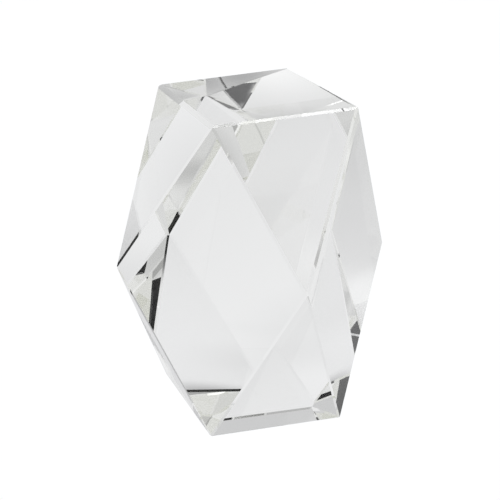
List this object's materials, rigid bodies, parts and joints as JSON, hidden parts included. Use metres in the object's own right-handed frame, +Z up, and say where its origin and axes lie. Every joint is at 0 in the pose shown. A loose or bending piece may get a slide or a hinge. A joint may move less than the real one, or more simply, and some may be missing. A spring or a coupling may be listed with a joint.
{
  "type": "crystal award block",
  "caption": "Free-standing award of solid clear optical crystal: an upright block with deep corner cuts that leave triangular and rhombic facets, standing on a flat base.",
  "frame": {"origin": "centre of the block's footprint at the base facet, on the surface it stands on", "axes": "+Z up along the block's height, -Y towards the front facet, +X towards the right facet"},
  "size_m": [0.0771, 0.076, 0.1203],
  "materials": {
    "crystal": "clear optical crystal, all facets and arrises polished"
  },
  "bodies": {
    "root": {"crystal_block": "crystal"}
  },
  "joints": []
}
